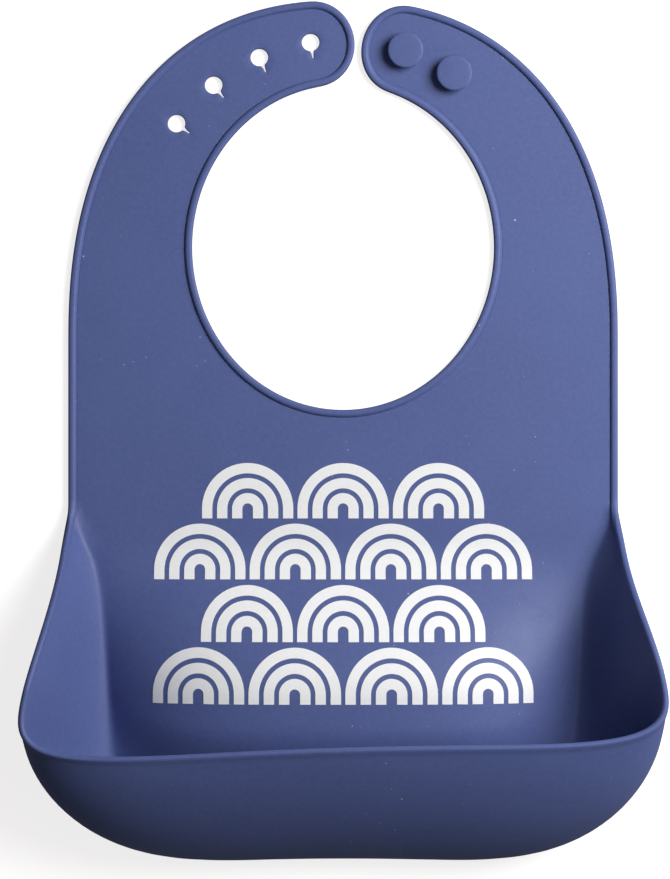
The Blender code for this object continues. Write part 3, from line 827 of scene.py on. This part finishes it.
def ink_band(centre_x, base_y, radius):
    """One band of a fan as a thin raised film of ink that follows the floor."""
    solid = bmesh.new()
    rims = []
    for lift in (-INK_DEPTH, INK_RISE):
        grid = []
        for column in range(INK_COLUMNS):
            line = arch_points(centre_x, base_y, radius - FAN_BAND * column / (INK_COLUMNS - 1))
            height = floor_top(line[:, 0], line[:, 1]) + lift
            grid.append([solid.verts.new((x, y, z)) for (x, y), z in zip(line, height)])
        for row, following in zip(grid, grid[1:]):
            for i in range(len(row) - 1):
                solid.faces.new((row[i], row[i + 1], following[i + 1], following[i]))
        rims.append(grid_rim(grid))
    join_rings(solid, *rims, smooth=False)
    bmesh.ops.recalc_face_normals(solid, faces=solid.faces)
    return solid


def build_print(material):
    """The rows of fans, numbered from the neck down, with a piece for each band."""
    number = 0
    for count, base_y in FAN_ROWS:
        for index in range(count):
            number += 1
            centre_x = FAN_PITCH * (index - (count - 1) / 2.0)
            for band in range(FAN_BANDS):
                node = f"print_fan_{number}_band_{band + 1}"
                solid = ink_band(centre_x, base_y, FAN_OUTER_RADIUS - FAN_STEP * band)
                piece = add_object(f"{node}_ink", solid, material)
                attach(piece, "panel")
                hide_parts(node)


# ---- Materials ----

def new_material(name):
    """A material with its node tree and its Principled shader."""
    material = bpy.data.materials.new(name)
    material.use_nodes = True
    tree = material.node_tree
    return material, tree, tree.nodes["Principled BSDF"]


def noise(tree, scale, detail=2.0, roughness=0.5):
    """Noise in object space, with its scale in features per metre."""
    place = tree.nodes.new("ShaderNodeTexCoord")
    node = tree.nodes.new("ShaderNodeTexNoise")
    node.inputs["Scale"].default_value = scale
    node.inputs["Detail"].default_value = detail
    node.inputs["Roughness"].default_value = roughness
    tree.links.new(place.outputs["Object"], node.inputs["Vector"])
    return node


def remap(tree, source, low, high, to_low, to_high):
    """The source from low to high, spread from to_low to to_high."""
    node = tree.nodes.new("ShaderNodeMapRange")
    node.inputs["From Min"].default_value = low
    node.inputs["From Max"].default_value = high
    node.inputs["To Min"].default_value = to_low
    node.inputs["To Max"].default_value = to_high
    tree.links.new(source, node.inputs["Value"])
    return node.outputs["Result"]


def mixed_colour(tree, factor, first, second):
    """Mix of two colours, each a value or another node's output."""
    node = tree.nodes.new("ShaderNodeMix")
    node.data_type = "RGBA"
    for socket, value in ((node.inputs[6], first), (node.inputs[7], second)):
        if isinstance(value, tuple):
            socket.default_value = value
        else:
            tree.links.new(value, socket)
    tree.links.new(factor, node.inputs["Factor"])
    return node.outputs[2]


def product(tree, first, second):
    """Product of two outputs."""
    node = tree.nodes.new("ShaderNodeMath")
    node.operation = "MULTIPLY"
    tree.links.new(first, node.inputs[0])
    tree.links.new(second, node.inputs[1])
    return node.outputs[0]


def dust_specks(tree, scale, radius, strength):
    """Small round specks, one to a cell, strongest in their middle."""
    place = tree.nodes.new("ShaderNodeTexCoord")
    cells = tree.nodes.new("ShaderNodeTexVoronoi")
    cells.inputs["Scale"].default_value = scale
    tree.links.new(place.outputs["Object"], cells.inputs["Vector"])
    return remap(tree, cells.outputs["Distance"], radius * 0.7, radius, strength, 0.0)


def add_relief(tree, shader, height, strength):
    """Fine relief on the shader, too small to be in the mesh."""
    bump = tree.nodes.new("ShaderNodeBump")
    bump.inputs["Strength"].default_value = strength
    bump.inputs["Distance"].default_value = RELIEF_DEPTH
    tree.links.new(height, bump.inputs["Height"])
    tree.links.new(bump.outputs["Normal"], shader.inputs["Normal"])


def dusty(tree, tint):
    """The tint with pale specks of dust over it, the finer kind in patches."""
    patches = noise(tree, 22.0, 2.0)
    for scale, radius, strength, onset in DUST_KINDS:
        speck = dust_specks(tree, scale, radius, strength)
        where = remap(tree, patches.outputs["Fac"], onset, onset + 0.12, 0.0, 1.0)
        tint = mixed_colour(tree, product(tree, speck, where), tint, DUST_COLOUR)
    return tint


def silicone_material():
    """Dull blue silicone with faint clouds, a fine mottle, dust and a satin finish."""
    material, tree, shader = new_material("moulded_silicone")
    clouds = noise(tree, 14.0, 3.0)
    cloudiness = remap(tree, clouds.outputs["Fac"], 0.35, 0.65, 0.0, 1.0)
    tint = mixed_colour(tree, cloudiness, SILICONE_DARK, SILICONE_LIGHT)
    mottle = noise(tree, 620.0, 3.0, 0.6)
    mottling = remap(tree, mottle.outputs["Fac"], 0.35, 0.7, 0.0, 0.4)
    tint = mixed_colour(tree, mottling, tint, SILICONE_MOTTLE)
    tree.links.new(dusty(tree, tint), shader.inputs["Base Color"])
    wear = noise(tree, 55.0, 4.0, 0.6)
    roughness = remap(tree, wear.outputs["Fac"], 0.3, 0.7, 0.47, 0.58)
    tree.links.new(roughness, shader.inputs["Roughness"])
    grain = noise(tree, 1600.0, 2.0)
    add_relief(tree, shader, grain.outputs["Fac"], 0.4)
    shader.inputs["IOR"].default_value = 1.42
    shader.inputs["Sheen Weight"].default_value = 0.06
    shader.inputs["Sheen Roughness"].default_value = 0.5
    return material


def ink_material():
    """White screen ink, very slightly uneven."""
    material, tree, shader = new_material("screen_ink")
    wear = noise(tree, 420.0, 3.0, 0.6)
    brightness = remap(tree, wear.outputs["Fac"], 0.3, 0.7, 0.0, 1.0)
    colour = mixed_colour(tree, brightness, INK_DULL, INK_BRIGHT)
    tree.links.new(colour, shader.inputs["Base Color"])
    shader.inputs["Roughness"].default_value = 0.5
    add_relief(tree, shader, wear.outputs["Fac"], 0.15)
    return material


# ---- Floor, light and camera ----

def build_floor():
    """White table top that glows a little and lights nothing."""
    material, _, shader = new_material("white_table")
    shader.inputs["Base Color"].default_value = TABLE_COLOUR
    shader.inputs["Emission Color"].default_value = TABLE_GLOW_COLOUR
    shader.inputs["Emission Strength"].default_value = TABLE_GLOW
    shader.inputs["Specular IOR Level"].default_value = 0.0
    shader.inputs["Roughness"].default_value = 0.8
    bpy.ops.mesh.primitive_plane_add(size=TABLE_SIZE, location=(0.0, 0.0, TABLE_Z))
    floor = bpy.context.object
    floor.name = "table_top"
    floor.visible_diffuse = False
    floor.visible_glossy = False
    floor.data.materials.append(material)


def add_light(name, azimuth, elevation, distance, size, power):
    """Square area light aimed at the bib; azimuth counts from +X towards +Y."""
    turn, lift = math.radians(azimuth), math.radians(elevation)
    direction = Vector((
        math.cos(turn) * math.cos(lift), math.sin(turn) * math.cos(lift), math.sin(lift)
    ))
    light = bpy.data.lights.new(name, "AREA")
    light.energy = power
    light.size = size
    lamp = bpy.data.objects.new(name, light)
    lamp.location = direction * distance
    lamp.rotation_euler = direction.to_track_quat("Z", "Y").to_euler()
    bpy.context.scene.collection.objects.link(lamp)


def build_light():
    """Dim studio world and the square lights."""
    scene = bpy.context.scene
    world = bpy.data.worlds.new("studio")
    world.use_nodes = True
    background = world.node_tree.nodes["Background"]
    background.inputs["Color"].default_value = WORLD_COLOUR
    background.inputs["Strength"].default_value = WORLD_STRENGTH
    scene.world = world
    for name, azimuth, elevation, distance, size, power in LIGHTS:
        add_light(name, azimuth, elevation, distance, size, power)
    scene.view_settings.view_transform = "Standard"


def build_camera():
    """Camera straight above the bib."""
    data = bpy.data.cameras.new("camera")
    data.sensor_width = SENSOR_WIDTH_MM
    data.lens = LENS_MM
    camera = bpy.data.objects.new("camera", data)
    camera.location = CAMERA_PLACE
    bpy.context.scene.collection.objects.link(camera)
    bpy.context.scene.camera = camera


silicone = silicone_material()
build_skin(silicone)
build_studs(silicone)
build_print(ink_material())
build_floor()
build_light()
build_camera()
